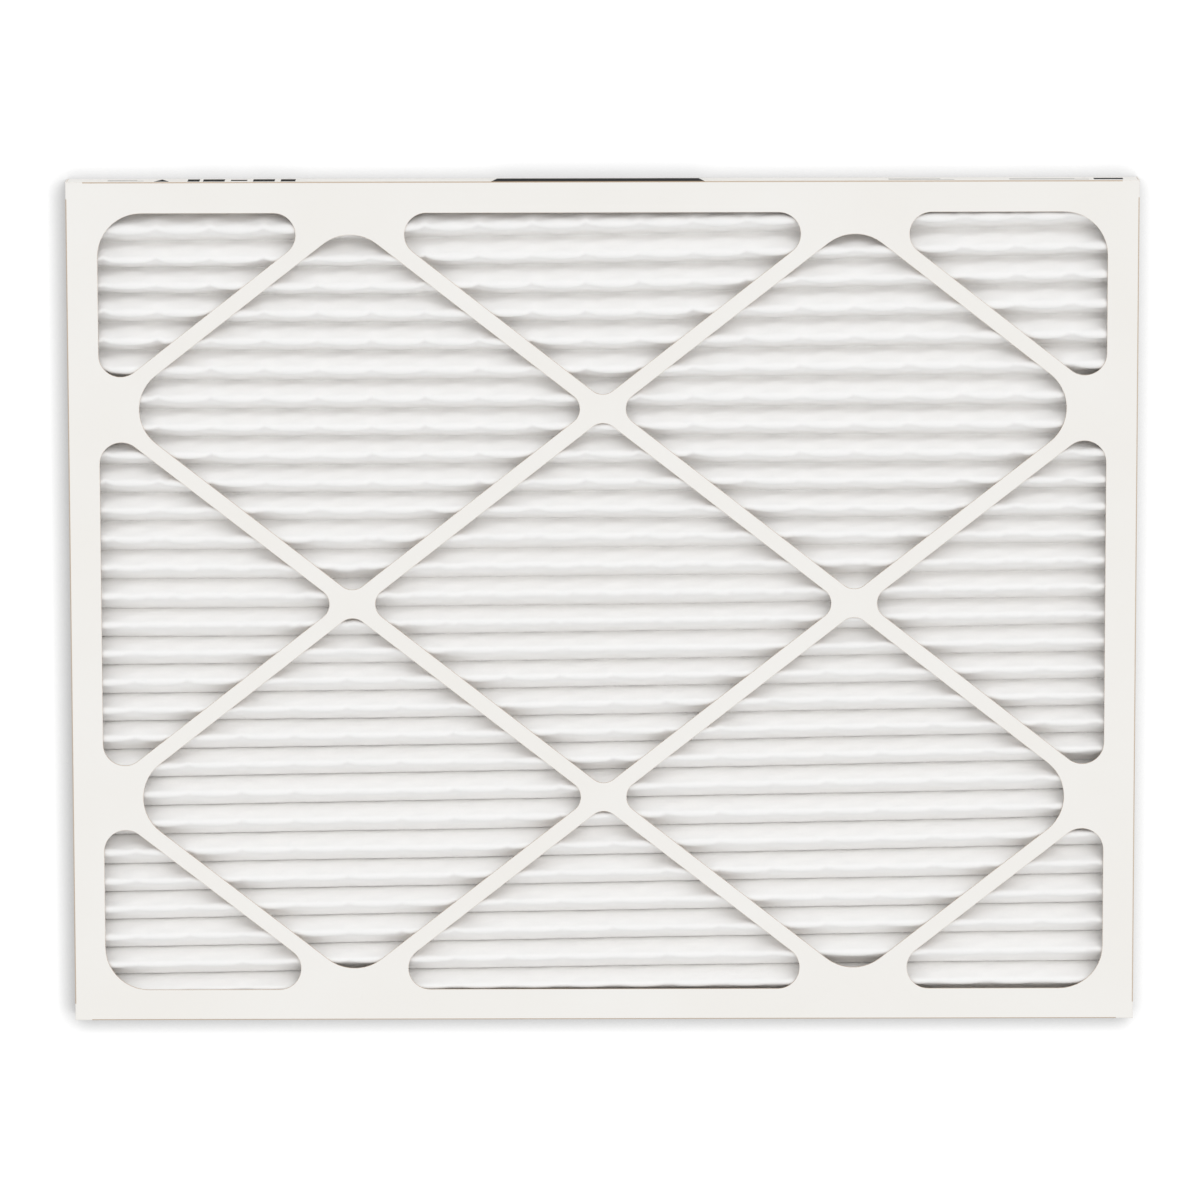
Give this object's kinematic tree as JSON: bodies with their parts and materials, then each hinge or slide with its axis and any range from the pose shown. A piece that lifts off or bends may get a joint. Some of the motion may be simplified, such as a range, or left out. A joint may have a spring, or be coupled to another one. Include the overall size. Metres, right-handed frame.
{
  "type": "pleated panel air filter",
  "caption": "Flat rectangular air filter panel: pleated white media on a wire backing, in a folded paperboard frame with a diagonal lattice on both faces.",
  "frame": {"origin": "middle of the back face, on the surface that the panel lies on", "axes": "+X along the long side and along the pleats, +Y across the panel, +Z from the back face to the front face"},
  "size_m": [0.6224, 0.4952, 0.0191],
  "materials": {
    "white_board": "satin",
    "pleated_media": "matt",
    "backing_wire": "satin"
  },
  "bodies": {
    "root": {"front_frame": "white_board", "back_frame": "white_board", "filter_media": "pleated_media", "wire_mesh": "backing_wire"}
  },
  "joints": []
}
